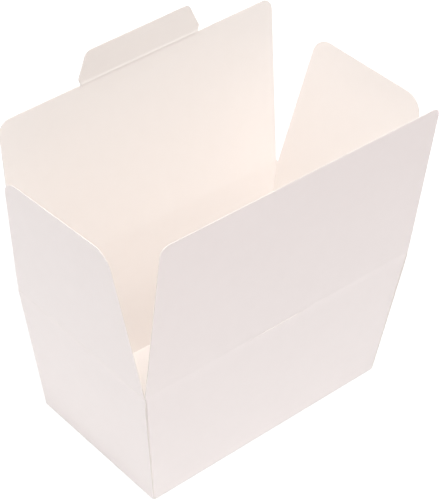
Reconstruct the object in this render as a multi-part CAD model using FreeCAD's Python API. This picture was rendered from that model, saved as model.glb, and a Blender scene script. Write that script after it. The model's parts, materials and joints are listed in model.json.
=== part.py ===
"""Open candy box: one flared tray folded from a card blank, four flaps and a tuck tab.

Millimetres, +Z up. The origin is the middle of the underside, X runs along the long
side, and the front wall faces -Y. Wall and base sizes are to the outer faces.
"""
import FreeCAD, Part
import math
import os

V = FreeCAD.Vector

# the card and its folds
CARD = 0.45                 # thickness of the board
FOLD_RADIUS = 0.55          # outside of a square fold
BEAD_RADIUS = 0.275         # the ridge that a pressed crease leaves, round its fold line
CREASE_GAP = 0.05           # between that ridge and the edge it turns on

# the tray, which widens upwards
BASE_LENGTH, BASE_DEPTH = 114.0, 67.5
MOUTH_LENGTH, MOUTH_DEPTH = 130.0, 75.0
WALL_HEIGHT = 60.0          # underside to the front crease
CREASE_STEP = 0.5           # end creases are this much lower and the back one higher,
                            # so that the shut flaps lie on each other

# glue tabs: the front and back walls turn the corners on them, inside the end walls
GLUE_TAB_WIDTH = 12.0
GLUE_TAB_BEVEL = 4.0        # slope of their ends, so that they slide in
GLUE_TAB_ROOT = 1.2         # where they start, over the base
GLUE_TAB_TOP = 15.5         # where they stop, under the crease, out of sight from above
SEAM = 0.25                 # how far the end walls' cut edges stop short of the corner

# flaps, measured from their crease
FRONT_FLAP_LENGTH, FRONT_FLAP_CORNER = 71.0, 3.5
BACK_FLAP_LENGTH, BACK_FLAP_CORNER = 72.1, 5.0
END_FLAP_LENGTH, END_FLAP_CORNER = 62.5, 8.0
END_FLAP_FRONT = 26.2       # from its middle to each side at the tip, before the corners
END_FLAP_BACK = 29.0        # are rounded: it tapers more at the front
FLAP_RELIEF = 0.6           # how much narrower than its wall a flap starts, each side

# how far each flap leans out, and the tab in, from straight on, in degrees
FRONT_LEAN, BACK_LEAN = 4.6, 6.35
LEFT_LEAN, RIGHT_LEAN = 8.5, 7.9
TAB_LEAN = 7.0

# tuck tab, and the slit in the front crease that takes it
TAB_LENGTH, TAB_CORNER = 13.3, 3.0
TAB_NECK, TAB_BELLY, TAB_TIP = 54.4, 56.0, 48.6
TAB_BELLY_HEIGHT = 2.6
SLIT_LENGTH = 57.5
SLIT_FROM, SLIT_TO = -0.05, 0.12   # its upper edge at the ends and in the middle

FRONT_SLOPE = (MOUTH_DEPTH - BASE_DEPTH) / 2 / WALL_HEIGHT
END_SLOPE = (MOUTH_LENGTH - BASE_LENGTH) / 2 / WALL_HEIGHT
FRONT_INSET = CARD * math.hypot(1, FRONT_SLOPE)    # a card's thickness, taken level
END_INSET = CARD * math.hypot(1, END_SLOPE)
EDGE_DROP = BEAD_RADIUS + CREASE_GAP
FRONT_CREASE = WALL_HEIGHT
END_CREASE = WALL_HEIGHT - CREASE_STEP
BACK_CREASE = WALL_HEIGHT + CREASE_STEP
OVER = 3.0                  # how far the walls are drawn past their creases, to be cut level


def half_length(z):
    """From the middle to an end wall's outer face, at height z."""
    return BASE_LENGTH / 2 + z * END_SLOPE


def half_depth(z):
    """From the middle to the front or back wall's outer face, at height z."""
    return BASE_DEPTH / 2 + z * FRONT_SLOPE


def plate(points, thickness):
    """The closed outline's face, made thick along the vector."""
    return Part.Face(Part.makePolygon(points + points[:1])).extrude(thickness)


def flared_block(low, high, end_inset, front_inset):
    """A solid that fills the tray from z low to high, with its sides moved in."""
    rings = []
    for z in (low, high):
        x = half_length(z) - end_inset
        y = half_depth(z) - front_inset
        corners = [V(-x, -y, z), V(x, -y, z), V(x, y, z), V(-x, y, z)]
        rings.append(Part.makePolygon(corners + corners[:1]))
    return Part.makeLoft(rings, True, True)


def round_edges(solid, radius, wanted):
    """Fillets the straight edges whose two end points satisfy wanted."""
    edges = [e for e in solid.Edges if wanted(*[v.Point for v in e.Vertexes])]
    return solid.makeFillet(radius, edges)


def wrap_with_glue_tabs():
    """Base, front wall and back wall, with the tabs that fold in behind the end walls."""
    top = WALL_HEIGHT + OVER
    outside = flared_block(0, top, END_INSET, 0)

    def corner_or_base_fold(a, b):
        return abs(a.z - b.z) > top / 2 or (max(a.z, b.z) < CARD and abs(a.y - b.y) < CARD)

    outside = round_edges(outside, FOLD_RADIUS, corner_or_base_fold)
    inside = flared_block(CARD, top, 2 * END_INSET, FRONT_INSET)
    shell = outside.cut(inside)

    # what the ends lose is all but the glue tabs, which taper towards their free edge
    def at_wall(z):
        return V(0, half_depth(z) - FRONT_INSET, z)

    def at_free_edge(z):
        return V(0, half_depth(z) - GLUE_TAB_WIDTH, z)

    low, high = GLUE_TAB_ROOT, END_CREASE - GLUE_TAB_TOP
    side = [at_wall(CARD), at_wall(low), at_free_edge(low + GLUE_TAB_BEVEL),
            at_free_edge(high - GLUE_TAB_BEVEL), at_wall(high), at_wall(top)]
    window = side + [V(p.x, -p.y, p.z) for p in reversed(side)]
    shell = shell.cut(plate(window, V(MOUTH_LENGTH, 0, 0)))
    return shell.cut(plate(window, V(-MOUTH_LENGTH, 0, 0)))


def end_walls():
    """Both end walls and the strip of base between them, folded up outside the tabs."""
    top = WALL_HEIGHT + OVER
    outside = flared_block(0, top, 0, SEAM)

    def base_fold(a, b):
        return max(a.z, b.z) < CARD and abs(a.x - b.x) < CARD

    outside = round_edges(outside, FOLD_RADIUS, base_fold)
    # the card between them is cut right through to front and back
    inside = flared_block(CARD, top, END_INSET, -OVER)
    return outside.cut(inside)


def carton_body():
    """The tray as one folded and glued sheet, its walls cut level under the creases."""
    wrap = wrap_with_glue_tabs()
    reach = MOUTH_LENGTH
    for y, crease in ((-reach, FRONT_CREASE), (0, BACK_CREASE)):
        above = Part.makeBox(2 * reach, reach, reach, V(-reach, y, crease - EDGE_DROP))
        wrap = wrap.cut(above)
    above = Part.makeBox(2 * reach, 2 * reach, reach, V(-reach, -reach, END_CREASE - EDGE_DROP))
    return wrap.fuse(end_walls().cut(above)).removeSplitter()


def flat_flap(outline, corner, tip, bead_half):
    """A flap standing straight up on its crease, the X axis. Its outline is in XZ.

    The ridge of the crease lies round that axis, and the corners at height tip are rounded.
    """
    sheet = plate([V(x, -CARD / 2, z) for x, z in outline], V(0, CARD, 0))

    def tip_corner(a, b):
        return abs(a.y - b.y) > CARD / 2 and min(a.z, b.z) > tip - CARD / 2

    sheet = round_edges(sheet, corner, tip_corner)
    bead = Part.makeCylinder(BEAD_RADIUS, 2 * bead_half, V(-bead_half, 0, 0), V(1, 0, 0))
    return sheet.fuse(bead).removeSplitter()


def mirrored(right_side):
    """The outline's right side, from the crease up, with its mirror image on the left."""
    return right_side + [(-x, z) for x, z in reversed(right_side)]


def stand(flap, lean, turn, foot):
    """Leans a flap out from the front, turns it to its wall and sets it on its crease."""
    flap = flap.copy()
    flap.rotate(V(0, 0, 0), V(1, 0, 0), lean)
    flap.rotate(V(0, 0, 0), V(0, 0, 1), turn)
    flap.translate(foot)
    return flap


def long_flap(length, corner):
    """The front and back flaps are rectangles, a little narrower than their wall."""
    half = half_length(WALL_HEIGHT) - FLAP_RELIEF
    return flat_flap(mirrored([(half, 0), (half, length)]), corner, length, half)


def slit_cutter():
    """The slit along the front crease: it gapes by a hair more in its middle."""
    half = SLIT_LENGTH / 2
    left, right = V(-half, -CARD, SLIT_FROM), V(half, -CARD, SLIT_FROM)
    bulge = Part.Arc(left, V(0, -CARD, SLIT_TO), right).toShape()
    drop = V(0, 0, -CARD)
    below = Part.makePolygon([right, right + drop, left + drop, left])
    return Part.Face(Part.Wire([bulge] + below.Edges)).extrude(V(0, 2 * CARD, 0))


def front_flap():
    """It folds in over the end flaps, and the tab goes in by the slit in its crease."""
    flap = long_flap(FRONT_FLAP_LENGTH, FRONT_FLAP_CORNER).cut(slit_cutter())
    return stand(flap, FRONT_LEAN, 0, V(0, CARD / 2 - half_depth(FRONT_CREASE), FRONT_CREASE))


def set_on_back(flap):
    """Stands a flat flap on the back wall, with the back flap's lean."""
    return stand(flap, BACK_LEAN, 180, V(0, half_depth(BACK_CREASE) - CARD / 2, BACK_CREASE))


def back_flap():
    """The last flap to shut; its tip carries the tuck tab."""
    return set_on_back(long_flap(BACK_FLAP_LENGTH, BACK_FLAP_CORNER))


def tuck_tab():
    """A tongue that widens just past its crease, then tapers to rounded corners."""
    side = [(TAB_NECK / 2, 0), (TAB_BELLY / 2, TAB_BELLY_HEIGHT), (TAB_TIP / 2, TAB_LENGTH)]
    tab = flat_flap(mirrored(side), TAB_CORNER, TAB_LENGTH, TAB_NECK / 2)
    tab.rotate(V(0, 0, 0), V(1, 0, 0), -TAB_LEAN)
    tab.translate(V(0, 0, BACK_FLAP_LENGTH + EDGE_DROP))
    return set_on_back(tab)


def end_flap(side, lean):
    """side is -1 for the left end and 1 for the right; the flap tapers and its tip is round."""
    half = half_depth(END_CREASE) - FLAP_RELIEF
    tip = END_FLAP_LENGTH
    towards_back = [(-half, 0), (half, 0), (END_FLAP_BACK, tip), (-END_FLAP_FRONT, tip)]
    outline = [(side * along, z) for along, z in towards_back]
    flap = flat_flap(outline, END_FLAP_CORNER, tip, half)
    return stand(flap, lean, side * 90, V(side * (half_length(END_CREASE) - CARD / 2), 0, END_CREASE))


SUB_PARTS = {
    "carton_body": carton_body,
    "front_flap": front_flap,
    "back_flap": back_flap,
    "tuck_tab": tuck_tab,
    "left_end_flap": lambda: end_flap(-1, LEFT_LEAN),
    "right_end_flap": lambda: end_flap(1, RIGHT_LEAN),
}

os.makedirs("parts", exist_ok=True)
for name, build in SUB_PARTS.items():
    shape = build()
    shape.exportStep(f"parts/{name}.step")
    print(name, "solids", len(shape.Solids), "valid", shape.isValid(), "mm3", round(shape.Volume, 1))
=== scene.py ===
# %% [markdown]
# # An open candy box of folded card
#
# The real box is one sheet of white board, cut, creased and glued at four tabs. Its CAD
# solids give the tray and every flap their size and place. This script dresses them: it
# takes each solid's shape, softens what a machine drawing leaves too perfect, closes the
# creases, and gives both sides of the board and its cut edges a finish of their own.

# %% Load the frame
import json
import math

import bmesh
import bpy
from mathutils import Matrix, Vector


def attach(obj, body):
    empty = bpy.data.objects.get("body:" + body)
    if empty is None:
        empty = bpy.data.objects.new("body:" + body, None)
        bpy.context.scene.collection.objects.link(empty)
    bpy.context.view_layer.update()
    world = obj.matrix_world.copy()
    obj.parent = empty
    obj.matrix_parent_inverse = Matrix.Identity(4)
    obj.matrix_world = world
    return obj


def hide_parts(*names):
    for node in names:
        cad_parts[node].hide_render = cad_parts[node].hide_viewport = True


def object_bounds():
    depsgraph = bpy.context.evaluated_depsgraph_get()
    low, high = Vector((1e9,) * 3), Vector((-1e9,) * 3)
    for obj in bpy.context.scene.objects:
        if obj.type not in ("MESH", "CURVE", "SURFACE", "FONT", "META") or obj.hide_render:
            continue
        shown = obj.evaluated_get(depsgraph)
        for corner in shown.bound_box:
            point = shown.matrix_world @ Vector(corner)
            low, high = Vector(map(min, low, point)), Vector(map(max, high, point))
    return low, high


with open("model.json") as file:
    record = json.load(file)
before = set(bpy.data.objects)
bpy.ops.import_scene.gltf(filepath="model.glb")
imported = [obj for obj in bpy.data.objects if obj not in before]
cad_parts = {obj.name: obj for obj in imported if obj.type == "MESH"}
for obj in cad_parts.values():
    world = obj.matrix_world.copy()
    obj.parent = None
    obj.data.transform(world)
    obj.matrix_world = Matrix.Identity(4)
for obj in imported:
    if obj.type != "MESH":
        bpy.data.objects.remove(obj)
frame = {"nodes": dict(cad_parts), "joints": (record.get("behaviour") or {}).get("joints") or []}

cad_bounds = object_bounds()
joints = {joint["name"]: joint for joint in frame["joints"]}
print("size in mm:", [round(1000 * side, 1) for side in cad_bounds[1] - cad_bounds[0]])

# %% [markdown]
# ## Shader maths as plain expressions
#
# Card has no pattern that a picture could show better than a few layers of noise, so its
# finishes are small formulas. A class that wraps a socket lets them be written as maths:
# every `+` or `*` adds one Math node. Colours are blended by a Mix node, since a Math node
# would turn them grey.

# %% A class for shader maths
class Field:
    """A number that varies over a surface: one output socket of a node tree."""

    def __init__(self, nodes, socket):
        self.nodes, self.socket = nodes, socket

    def _maths(self, operation, first, second):
        return self.nodes.add("ShaderNodeMath", {"operation": operation}, first, second)

    def __add__(self, other): return self._maths("ADD", self, other)
    def __radd__(self, other): return self._maths("ADD", other, self)
    def __sub__(self, other): return self._maths("SUBTRACT", self, other)
    def __rsub__(self, other): return self._maths("SUBTRACT", other, self)
    def __mul__(self, other): return self._maths("MULTIPLY", self, other)
    def __rmul__(self, other): return self._maths("MULTIPLY", other, self)


class Nodes:
    """Adds nodes to one tree and wires them up."""

    def __init__(self, tree):
        self.tree = tree

    def add(self, kind, settings=None, *inputs, output=0, **named):
        """One node of this kind. Settings come first, then its sockets by place or by name."""
        node = self.tree.nodes.new(kind)
        for key, value in (settings or {}).items():
            setattr(node, key, value)
        for key, value in [*enumerate(inputs), *named.items()]:
            self.feed(node.inputs[key.replace("_", " ") if isinstance(key, str) else key], value)
        return Field(self, node.outputs[output])

    def feed(self, socket, value):
        """Links a field to a socket, or sets a plain value on it."""
        if isinstance(value, Field):
            self.tree.links.new(value.socket, socket)
        else:
            socket.default_value = value

    def looked_at(self):
        """1 on rays that an eye follows, straight, mirrored or through glass, and 0 on light."""
        eye, mirror, glass = (self.add("ShaderNodeLightPath", output=f"Is {kind} Ray")
                              for kind in ("Camera", "Glossy", "Transmission"))
        return eye + mirror + glass


class Finish(Nodes):
    """A material under construction."""

    def __init__(self, name):
        self.material = bpy.data.materials.new(name)
        self.material.use_nodes = True
        super().__init__(self.material.node_tree)
        self.shader = self.tree.nodes["Principled BSDF"]

    def place(self):
        """Where a point lies on the object, in metres."""
        return self.add("ShaderNodeTexCoord", output="Object")

    def noise(self, size, detail):
        """Soft noise from 0 to 1, whose lumps are about size metres across."""
        return self.add("ShaderNodeTexNoise", None, Vector=self.place(), Scale=1 / size, Detail=detail)

    def blend(self, share, first, second):
        """A colour between first and second."""
        node = self.tree.nodes.new("ShaderNodeMix")
        node.data_type = "RGBA"
        for name, value in (("Factor_Float", share), ("A_Color", first), ("B_Color", second)):
            self.feed(next(s for s in node.inputs if s.identifier == name), value)
        return Field(self, next(s for s in node.outputs if s.identifier == "Result_Color"))

    def bump(self, height, depth):
        """The surface normal over bumps of this height field, depth metres from 0 to 1."""
        return self.add("ShaderNodeBump", None, Strength=1.0, Distance=depth, Height=height)


def srgb(red, green, blue):
    """A colour from its screen values, 0 to 255, as the linear numbers that a shader takes."""
    def linear(value):
        value /= 255
        return value / 12.92 if value <= 0.04045 else ((value + 0.055) / 1.055) ** 2.4
    return (linear(red), linear(green), linear(blue), 1.0)


print("shader helpers ready")

# %% [markdown]
# ## The two sides of the board and its cut edge
#
# Folding boxboard is a sandwich. The outside is coated with clay, so it is the smoother and
# cooler white. The inside is bare pulp, a touch creamier, with a faint cloudiness where the
# fibres lie thicker. Its colour is also set a little brighter than the outside's, as painted
# light for the extra light that gathers inside the box. A knife cuts through both and leaves
# a pale, slightly furry edge.

# %% Outside, inside and edge finishes
CLOUD, FIBRE = 0.006, 0.00035           # how wide a cloud and a bundle of fibres are, in metres
POLISH = 0.08                           # how much the roughness changes with the clouds


def board_finish(name, colour, shade, roughness, mottle, fibre_depth):
    """White board: a colour that clouds over towards a shade of it, and a fine grain."""
    finish = Finish(name)
    clouds = finish.noise(CLOUD, 3.0)
    fibres = finish.noise(FIBRE, 2.0)
    finish.feed(finish.shader.inputs["Base Color"],
                finish.blend(clouds * mottle + fibres * (0.5 * mottle), colour, shade))
    finish.feed(finish.shader.inputs["Roughness"], clouds * POLISH + (roughness - POLISH / 2))
    finish.feed(finish.shader.inputs["Normal"], finish.bump(fibres, fibre_depth))
    finish.feed(finish.shader.inputs["Specular IOR Level"], 0.3)
    return finish.material


outside_finish = board_finish("coated_outside", srgb(242, 234, 232), srgb(238, 230, 228),
                              roughness=0.5, mottle=0.5, fibre_depth=0.000006)
# the bare inside is rougher and grainier; its colour, a few levels brighter than the outside's, is
# painted light
inside_with_painted_light = board_finish("bare_inside_with_painted_light", srgb(247, 241, 237), srgb(244, 237, 232),
                             roughness=0.75, mottle=0.5, fibre_depth=0.000012)
edge_finish = board_finish("cut_edge", srgb(236, 229, 224), srgb(231, 224, 219),
                           roughness=0.9, mottle=0.8, fibre_depth=0.00003)
SIDES = (outside_finish, inside_with_painted_light, edge_finish)
OUTSIDE, INSIDE, EDGE = range(len(SIDES))
print("finishes:", [side.name for side in SIDES])

# %% [markdown]
# ## Taking the sheets from the CAD solids
#
# Every sheet starts as a copy of its solid, so the outline, the rounded corners and the
# thickness are right from the start. Planes then cut the copy into small faces, because a
# flat plate of two triangles can't be bent. Which finish a face gets depends on where it
# looks: out of the box, into it, or along the board.

# %% Copy a solid and cut it finer
MM = 0.001
WELD, SLIVER = 0.001 * MM, 0.004 * MM
CARD = 0.45 * MM
GRID, TRAY_GRID = 4 * MM, 5 * MM
NEAR_CREASE = [h * MM for h in (0.3, 0.6, 1.0, 1.6, 2.5, 4.0)]
FACING = 0.6                            # a face looks in a direction past this cosine
SHARP = math.radians(35)                # folds and cut edges are sharper than this


def copy_solid(node):
    """The solid's mesh, welded, as a bmesh."""
    bm = bmesh.new()
    bm.from_mesh(frame["nodes"][node].data)
    bmesh.ops.remove_doubles(bm, verts=bm.verts, dist=WELD)
    return bm


def cut(bm, point, normal):
    """Cuts every face that the plane crosses, and leaves both halves in place."""
    bmesh.ops.bisect_plane(bm, geom=bm.verts[:] + bm.edges[:] + bm.faces[:],
                           plane_co=point, plane_no=normal, dist=WELD)


def cut_grid(bm, along, step=GRID):
    """Cuts the mesh by planes a step apart, each square to the direction along."""
    reach = [vert.co.dot(along) for vert in bm.verts]
    place = min(reach) + step / 2
    while place < max(reach):
        cut(bm, along * place, along)
        place += step


def finish_sheet(bm, name, body, node):
    """Turns the bmesh into the piece that stands for its CAD node.

    The copy still carries the solid's own shading, which no longer fits, so it is dropped.
    """
    mesh = bpy.data.meshes.new(name)
    bmesh.ops.dissolve_degenerate(bm, dist=SLIVER, edges=bm.edges[:])
    for face in bm.faces:
        face.smooth = True
    bm.to_mesh(mesh)
    bm.free()
    if "custom_normal" in mesh.attributes:
        mesh.attributes.remove(mesh.attributes["custom_normal"])
    mesh.set_sharp_from_angle(angle=SHARP)
    for side in SIDES:
        mesh.materials.append(side)
    piece = bpy.data.objects.new(name, mesh)
    bpy.context.scene.collection.objects.link(piece)
    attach(piece, body)
    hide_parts(node)
    print(name, "faces", len(mesh.polygons))


# %% [markdown]
# ## Creases
#
# A crease is pressed with a blunt rule, and the board runs through it unbroken. In the CAD it
# has to be a hinge: a round ridge on the flap and a small gap over the wall's edge. Here the
# wall's edge is drawn up to the fold line and the ridge is flattened to the thickness of the
# board. Outside, the flap's foot sits a hair further in than the wall's top. The narrow band
# between them leans back and catches more light, and that faint line is all that shows.

# %% Where each flap turns
CREASE_OF = {"front_flap": "front_crease", "back_flap": "back_crease", "tuck_tab": "tab_crease",
             "left_end_flap": "left_crease", "right_end_flap": "right_crease"}
ROLL = {"front_flap": 0.13 * MM, "back_flap": 0.1 * MM, "left_end_flap": 0.18 * MM,
        "right_end_flap": 0.18 * MM}
ROLL_DROP, ROLL_HALF, ROLL_FADE = 0.9 * MM, 1.0 * MM, 6 * MM
EDGE_DROP = 0.325 * MM


class Crease:
    """A fold line, with the way along it, up the sheet that stands on it, and out of the box."""

    def __init__(self, node, up=None):
        joint = joints[CREASE_OF[node]]
        self.hinge, self.along = Vector(joint["pos_m"]), Vector(joint["axis"])
        arms = [vert.co - self.hinge for vert in frame["nodes"][node].data.vertices]
        self.half = max(abs(arm.dot(self.along)) for arm in arms)
        tip = max((arm - self.along * arm.dot(self.along) for arm in arms), key=lambda arm: arm.length)
        self.length = tip.length
        self.up = (up or tip).normalized()
        self.out = self.up.cross(self.along)

    def measure(self, point):
        """How far the point lies along, above and outside the fold line."""
        arm = point - self.hinge
        return arm.dot(self.along), arm.dot(self.up), arm.dot(self.out)

    def turn(self, along, up, out):
        """The step that goes this far along, up and out."""
        return self.along * along + self.up * up + self.out * out


def roll(node, above, outside):
    """How far the outer face stands out of its plane at this height over the fold line."""
    if outside < 0:
        return 0.0
    place = above + ROLL_DROP
    return -ROLL[node] * math.tanh(place / ROLL_HALF) * math.exp(-(place / ROLL_FADE) ** 2)


def ridge(above, height, half):
    """How far a ridge stands out of the inner face at this distance from its line."""
    return height * math.exp(-(above / half) ** 2)


# %% [markdown]
# ## The slit
#
# The front crease is cut right through over a hand's breadth, so that the tuck tab can go
# in. Most of the cut stays shut. Its middle gapes by a hair: the wall's lip stands out and
# the flap's lip leans in. The light that falls on that narrow ledge shows where the slit is.

# %% How far the slit gapes
SLIT_HALF, SLIT_ENDS, SLIT_MIDDLE = 28.75 * MM, -0.05 * MM, 0.12 * MM
GAPE, GAPE_MIDDLE, GAPE_HALF, GAPE_FADE = 0.1 * MM, 2.5 * MM, 16 * MM, 3 * MM
LAP, MEET = 0.03 * MM, 0.02 * MM


def gape(along, above):
    """How far each lip is pushed at this place near the front crease."""
    middle = max(0.0, 1 - ((along - GAPE_MIDDLE) / GAPE_HALF) ** 2)
    return GAPE * middle * math.exp(-abs(above) / GAPE_FADE)


def lip_top(along):
    """How high the wall's lip stands over the fold line: just past the flap's cut edge."""
    return SLIT_ENDS + (SLIT_MIDDLE - SLIT_ENDS) * (1 - (along / SLIT_HALF) ** 2) + 2 * LAP


print("widest gape:", round(2 * gape(GAPE_MIDDLE, 0) / MM, 2), "mm")

# %% [markdown]
# ## The corner seams
#
# At each upright corner the front or back wall folds round behind the end wall and is glued
# there. Near the mouth no glue holds the end wall. At the two front corners it springs out a
# little, so the seam opens into a dark line, which closes again where the crease holds the wall.

# %% How far the end walls spring out
MOUTH, BASE, HEIGHT = (130, 75), (114, 67.5), 60     # length and depth, and the wall, in millimetres
END_SLOPE, FRONT_SLOPE = ((wide - narrow) / 2 / HEIGHT for wide, narrow in zip(MOUTH, BASE))
END_HINGE, FRONT_HINGE = Vector(joints["right_crease"]["pos_m"]), Vector(joints["front_crease"]["pos_m"])
SPRING, SPRING_REACH, SPRING_FADE = 0.35 * MM, 12 * MM, 3 * MM


def end_face(z):
    """How far out the end walls' outer face is at height z."""
    return END_HINGE.x + CARD / 2 + (z - END_HINGE.z) * END_SLOPE


def front_face(z):
    """How far out the front wall's outer face is at height z."""
    return CARD / 2 - FRONT_HINGE.y + (z - FRONT_HINGE.z) * FRONT_SLOPE


def spring(place):
    """The outward step of an end wall near the front corners. At the top its crease holds it."""
    below = END_HINGE.z - place.z
    if place.y > 0 or below < 0:
        return Vector()
    share = place.z / END_HINGE.z * (1 - math.exp(-below / SPRING_FADE))
    out = SPRING * share * math.exp(-((front_face(place.z) + place.y) / SPRING_REACH) ** 2)
    return Vector((math.copysign(out, place.x), 0, 0))


# %% [markdown]
# ## The flaps
#
# A real flap is never quite flat or quite square. Board springs back unevenly from its
# crease, so one tip corner stands out more than the other, and a hand-fed fold is a hair out
# of line. Each flap therefore has a drift for both of its tip corners. The sheet between them
# follows evenly, and the crease stays where its joint has it. The tuck tab hangs on the back
# flap's tip, so it takes that flap's drift as well as its own.
#
# The numbers weren't chosen for their meaning. A separate program fitted them to one box, too
# loosely to tell a step up from a step outwards, and they were rounded afterwards. One lean and
# one twist for each flap, chosen by hand, would be a better way to write this.

# %% How far the tip corners drift
# far and near tip corner of each flap: millimetres along the crease, up the flap and outwards
DRIFT = {
    "front_flap": ((-0.3, 0.2, 0.1), (-0.5, 0.4, 0.4)),
    "back_flap": ((0.4, 0.9, 1.4), (-1.0, -1.0, -0.7)),
    "tuck_tab": ((-0.8, -0.6, 0.7), (-0.3, -0.2, 0.3)),
    "left_end_flap": ((0.1, -0.6, 0.9), (0.4, 0.6, -1.8)),
    "right_end_flap": ((0.0, 0.1, 0.6), (0.0, -0.7, 0.4)),
}
# how far the far and the near end of its foot are moved along the crease, in millimetres
FOOT = {"front_flap": (0.55, -0.45), "back_flap": (-0.5, -0.1), "tuck_tab": (0.6, -0.3),
        "left_end_flap": (0.6, 0.0), "right_end_flap": (0.0, 0.2)}
TAB_SHIFT = -0.9 * MM
TAB_CREASE = Crease("tuck_tab")


def drift(crease, node, point):
    """The step by which a point of this flap leaves its true place."""
    along, above, _ = crease.measure(point)
    height, end = max(above, 0) / crease.length, along / crease.half
    far, near = (crease.turn(*(side * MM for side in corner)) for corner in DRIFT[node])
    far_foot, near_foot = FOOT.get(node, (0, 0))
    foot = (far_foot * max(end, 0) ** 4 + near_foot * max(-end, 0) ** 4) * MM
    return (far * (1 + end) + near * (1 - end)) / 2 * height + crease.along * (foot * max(1 - height, 0))


# %% Make the flaps
TAB_RIDGE, RIDGE_ABOVE, RIDGE_BELOW = 0.14 * MM, 0.5 * MM, 3.5 * MM
# under its fold line a flap's faces lie a hair deeper, so that they hide in the wall's top
TUCK, TUCK_FROM = 0.03 * MM, -0.02 * MM
# the tab's foot reaches down past the back flap's edge, and lies a hair deeper than its face
TAB_FOOT, TAB_FOOT_FROM, TAB_PROUD = -0.4 * MM, -0.1 * MM, 0.06 * MM
BEAD_MIDDLE = 0.1 * MM                  # the ridge's underside, which belongs to neither face


def tab_ridge(along, above, half):
    """The back flap's share of the ridge at the tab's crease."""
    return ridge(above, TAB_RIDGE, half) if abs(along - TAB_SHIFT) < TAB_CREASE.half else 0.0


def make_flap(node):
    """The tuck tab's crease is a clear ridge, since the tab has been folded to and fro."""
    crease = Crease(node)
    carrier = Crease("back_flap") if node == "tuck_tab" else None
    bm = copy_solid(node)
    cut_grid(bm, crease.along)
    cut_grid(bm, crease.up)
    for above in NEAR_CREASE:
        cut(bm, crease.hinge + crease.up * above, crease.up)
        if node == "back_flap":
            cut(bm, TAB_CREASE.hinge - crease.up * (above + EDGE_DROP), crease.up)
    bm.normal_update()
    for face in bm.faces:
        facing = face.normal.dot(crease.out)
        face.material_index = EDGE if abs(facing) < FACING else OUTSIDE if facing > 0 else INSIDE
    for vert in bm.verts:
        along, above, outside = crease.measure(vert.co)
        half = CARD / 2 - (TUCK if above < TUCK_FROM and not carrier else 0)
        flat = max(-half, min(half, outside))
        if carrier:
            step = drift(carrier, "back_flap", vert.co) + crease.along * TAB_SHIFT
            step -= crease.out * ridge(above, TAB_RIDGE, RIDGE_ABOVE)
            if above < TAB_FOOT_FROM:
                flat = math.copysign(half, outside) if abs(outside) > BEAD_MIDDLE else outside
                step += crease.up * (TAB_FOOT - above) - crease.out * TAB_PROUD
        else:
            step = crease.out * roll(node, above, outside)
        step += crease.out * (flat - outside) + drift(crease, node, vert.co)
        if node == "back_flap":
            arm = vert.co - TAB_CREASE.hinge
            step -= crease.out * tab_ridge(arm.dot(crease.along), arm.dot(crease.up), RIDGE_BELOW)
        if node == "front_flap":
            step -= crease.out * gape(along, above)
        vert.co += step
    finish_sheet(bm, node + "_card", node, node)


for node in DRIFT:
    make_flap(node)

# %% [markdown]
# ## The tray
#
# The tray is the part of the sheet that is folded and glued for good. Its solid already has
# the folds, the glue tabs behind the end walls and the cut edges that show at the corners.
# Its copy gets the edges under the creases, the slit's lip, and front corner seams that gape
# towards the top, where no glue holds them and the end walls spring outwards.

# %% Cut the tray finer near its creases
WALLS = {"front_flap": Vector((0, -FRONT_SLOPE, 1)), "back_flap": Vector((0, FRONT_SLOPE, 1)),
         "left_end_flap": Vector((-END_SLOPE, 0, 1)), "right_end_flap": Vector((END_SLOPE, 0, 1))}
creases = {node: Crease(node, up) for node, up in WALLS.items()}
tray = copy_solid("carton_body")
for axis in (Vector((0, 0, 1)), Vector((1, 0, 0)), Vector((0, 1, 0))):
    cut_grid(tray, axis, TRAY_GRID)
for crease in creases.values():
    for below in NEAR_CREASE:
        cut(tray, crease.hinge - crease.up * below, crease.up)
print("tray faces", len(tray.faces))

# %% Which side of the board each face of the tray is
AT_ENDS, OFF_WALLS = 50 * MM, 30 * MM   # the glue tabs' free edges lie past one and inside the other


def tray_side(face):
    """Outside, inside or cut edge, from where the face lies and where it looks."""
    place, facing = face.calc_center_median(), face.normal
    if abs(facing.z) > FACING:
        if place.z < 2 * CARD:
            return OUTSIDE if facing.z < 0 else INSIDE
        return EDGE
    in_end_wall = abs(place.x) > end_face(place.z) - 0.9 * CARD
    on_glue_tab = abs(place.x) > AT_ENDS and abs(place.y) < OFF_WALLS
    if abs(facing.y) > FACING and (in_end_wall or on_glue_tab):
        return EDGE
    outward = facing.x * place.x if abs(facing.x) > FACING else facing.y * place.y
    return OUTSIDE if outward > 0 else INSIDE


tray.normal_update()
for face in tray.faces:
    face.material_index = tray_side(face)

# %% Close the creases and open the slit
FADED = 8 * MM                          # further than this under a crease nothing is moved
EDGE_FROM, EDGE_TO = -1.2 * EDGE_DROP, -0.9 * EDGE_DROP     # where a wall's cut edge lies


def crease_push(crease, node, vert):
    """Moves a vertex near one crease: edge up to the fold line, roll, and the slit's lip."""
    along, above, outside = crease.measure(vert.co)
    if abs(outside) > CARD or above < -FADED:
        return
    if EDGE_FROM < above < EDGE_TO:
        in_slit = node == "front_flap" and abs(along) < SLIT_HALF
        vert.co += crease.up * (EDGE_DROP + lip_top(along) if in_slit else MEET - above)
    if abs(along) < crease.half:
        vert.co += crease.out * roll(node, above, outside)
    if node == "front_flap":
        vert.co += crease.out * gape(along, above)


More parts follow.
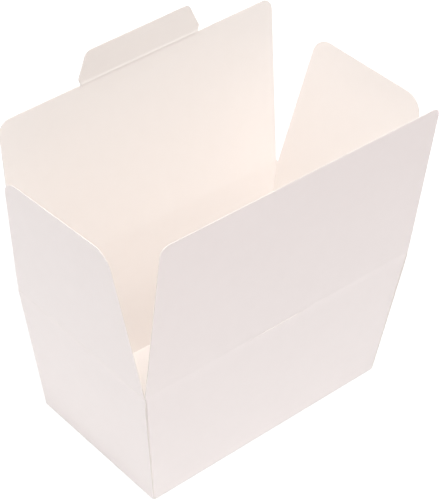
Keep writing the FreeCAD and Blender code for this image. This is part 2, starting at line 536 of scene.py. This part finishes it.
# %% Draw the front folds on behind the end walls
LIP_FROM, LIP_REACH, LIP_SLACK = 44.3 * MM, 1.5 * MM, 0.1 * MM
for side in (-1, 1):
    slant = Vector((side, 0, -END_SLOPE))
    cut(tray, Vector((side * (end_face(0) - 2 * CARD), 0, 0)), slant)
cut(tray, Vector((0, 0, LIP_FROM)), Vector((0, 0, 1)))
tray.normal_update()
inner_ends = []
for face in tray.faces:
    place = face.calc_center_median()
    depth, inset = front_face(place.z) - abs(place.y), end_face(place.z) - abs(place.x)
    in_front = place.y < 0 and face.normal.y > FACING
    if in_front and place.z > LIP_FROM and abs(depth - CARD) < LIP_SLACK and inset < 2 * CARD:
        inner_ends.append(face)
grown = bmesh.ops.extrude_face_region(tray, geom=inner_ends)
for item in grown["geom"]:
    if isinstance(item, bmesh.types.BMVert):
        item.co.y += LIP_REACH
bmesh.ops.delete(tray, geom=inner_ends, context="FACES")
print("lips drawn from", len(inner_ends), "faces")

# %% Spring the end walls out at the seams, and set the base a little askew
EDGE_FORWARD = 0.12 * MM
SEAM_NEAR, SEAM_FAR = 0.15 * MM, 0.4 * MM       # the end walls' cut edges lie between these
SLACK = 0.005 * MM
SKEW = Vector((-0.7, -1.4, 0)) * MM     # from the same fit as the flaps' drifts


def at_seam(place):
    """The tray's step at an end wall: its cut edge also reaches further to the corner."""
    inset = end_face(place.z) - abs(place.x)
    from_corner = front_face(place.z) - abs(place.y)
    if inset > CARD + SLACK or from_corner < SEAM_NEAR:
        return Vector()
    step = spring(place)
    if from_corner < SEAM_FAR:
        step.y = math.copysign(EDGE_FORWARD * place.z / END_HINGE.z, place.y)
    return step


def skew(place):
    """How far the base's back left corner draws the tray out of square."""
    side, back = max(0, -place.x / end_face(0)), (place.y / front_face(0) + 1) / 2
    return SKEW * side ** 2 * max(0, back) * max(0, 1 - place.z / END_HINGE.z)


for vert in tray.verts:
    step = at_seam(vert.co) + skew(vert.co)
    for node, crease in creases.items():
        crease_push(crease, node, vert)
    vert.co += step
finish_sheet(tray, "tray_card", "tray", "carton_body")

# %% [markdown]
# ## Floor, light and camera
#
# White card on white shows by its faint shading alone. The box stands on a white sheet, which
# lights its walls from below, as a white table does. In front the sheet soon gives way to a
# darker bench with a rosy tint, so this light fades and warms up the front wall and its flap.
# What an eye sees of both is lifted to white, with only a trace of shadow left near the box.

# %% Floor
SHEET_EDGE, BENCH_EDGE = 0.12, 0.36     # where the change starts and ends, in metres
WHITE, ROSY = (0.92, 0.92, 0.92, 1), (0.53, 0.455, 0.45, 1)
LIFT_NEAR, LIFT_FAR, SHADOW = (0.86, 0.86, 0.86, 1), (1, 1, 1, 1), (0.2, 0.2, 0.2, 1)


def make_floor():
    bm = bmesh.new()
    bmesh.ops.create_grid(bm, x_segments=1, y_segments=1, size=4.0)
    mesh = bpy.data.meshes.new("floor")
    bm.to_mesh(mesh)
    bm.free()
    floor = bpy.data.objects.new("floor", mesh)
    bpy.context.scene.collection.objects.link(floor)
    paint = Finish("white_sheet_on_bench")
    paint.tree.nodes.remove(paint.shader)

    def past_edge(distance):
        """0 on the sheet and 1 on the bench."""
        return paint.add("ShaderNodeMapRange", {"interpolation_type": "SMOOTHSTEP"},
                         distance, SHEET_EDGE, BENCH_EDGE)

    in_front = 0 - paint.add("ShaderNodeSeparateXYZ", None, paint.place(), output="Y")
    all_round = paint.add("ShaderNodeVectorMath", {"operation": "LENGTH"}, paint.place(), output="Value")
    sheet = paint.add("ShaderNodeBsdfDiffuse", None,
                      Color=paint.blend(past_edge(in_front), WHITE, ROSY))
    faint = paint.add("ShaderNodeBsdfDiffuse", None, Color=SHADOW)
    glow = paint.add("ShaderNodeEmission", None, Strength=1.0,
                     Color=paint.blend(past_edge(all_round), LIFT_NEAR, LIFT_FAR))
    seen = paint.add("ShaderNodeAddShader", None, faint, glow)
    paint.feed(paint.tree.nodes["Material Output"].inputs["Surface"],
               paint.add("ShaderNodeMixShader", None, paint.looked_at(), sheet, seen))
    floor.data.materials.append(paint.material)


make_floor()

# %% World and lamps
world = bpy.data.worlds.new("studio")
bpy.context.scene.world = world
world.use_nodes = True
sky = Nodes(world.node_tree)
surround = sky.tree.nodes["Background"]
surround.inputs["Color"].default_value = (1, 1, 1, 1)
surround.inputs["Strength"].default_value = 0.315
backdrop = sky.add("ShaderNodeBackground", None, Color=(1, 1, 1, 1), Strength=1.0)
sky.feed(sky.tree.nodes["World Output"].inputs["Surface"],
         sky.add("ShaderNodeMixShader", None, sky.looked_at(), Field(sky, surround.outputs[0]), backdrop))


def soft_lamp(name, azimuth, elevation, distance, size, watts):
    """A square softbox aimed at the box. Azimuth 0 is in front of it, 90 to its right."""
    data = bpy.data.lights.new(name, "AREA")
    data.shape, data.size, data.energy = "SQUARE", size, watts
    lamp = bpy.data.objects.new(name, data)
    turn, rise = math.radians(azimuth), math.radians(elevation)
    away = Vector((math.sin(turn) * math.cos(rise), -math.cos(turn) * math.cos(rise), math.sin(rise)))
    aim = sum(cad_bounds, Vector()) / 2
    lamp.location = aim + away * distance
    lamp.rotation_mode = "QUATERNION"
    lamp.rotation_quaternion = away.to_track_quat("Z", "Y")
    bpy.context.scene.collection.objects.link(lamp)


soft_lamp("key", -20, 63, 1.6, 0.8, 19.8)
soft_lamp("left", -90, 50, 1.6, 1.2, 5.1)
soft_lamp("back", 180, 50, 1.6, 1.2, 11.5)

# %% Camera
AIM = Vector((0, -0.0013, 0.0709))
DISTANCE, AZIMUTH, ELEVATION, TILT = 0.6641, -42.58, 39.51, 2.77
LENS = 128.3
camera_data = bpy.data.cameras.new("camera")
camera_data.lens = LENS
camera = bpy.data.objects.new("camera", camera_data)
turn, rise = math.radians(AZIMUTH), math.radians(ELEVATION)
away = Vector((math.sin(turn) * math.cos(rise), -math.cos(turn) * math.cos(rise), math.sin(rise)))
camera.location = AIM + away * DISTANCE
look = away.to_track_quat("Z", "Y").to_matrix() @ Matrix.Rotation(math.radians(TILT), 3, "Z")
camera.rotation_mode = "QUATERNION"
camera.rotation_quaternion = look.to_quaternion()
bpy.context.scene.collection.objects.link(camera)
bpy.context.scene.camera = camera
bpy.context.scene.view_settings.view_transform = "Standard"
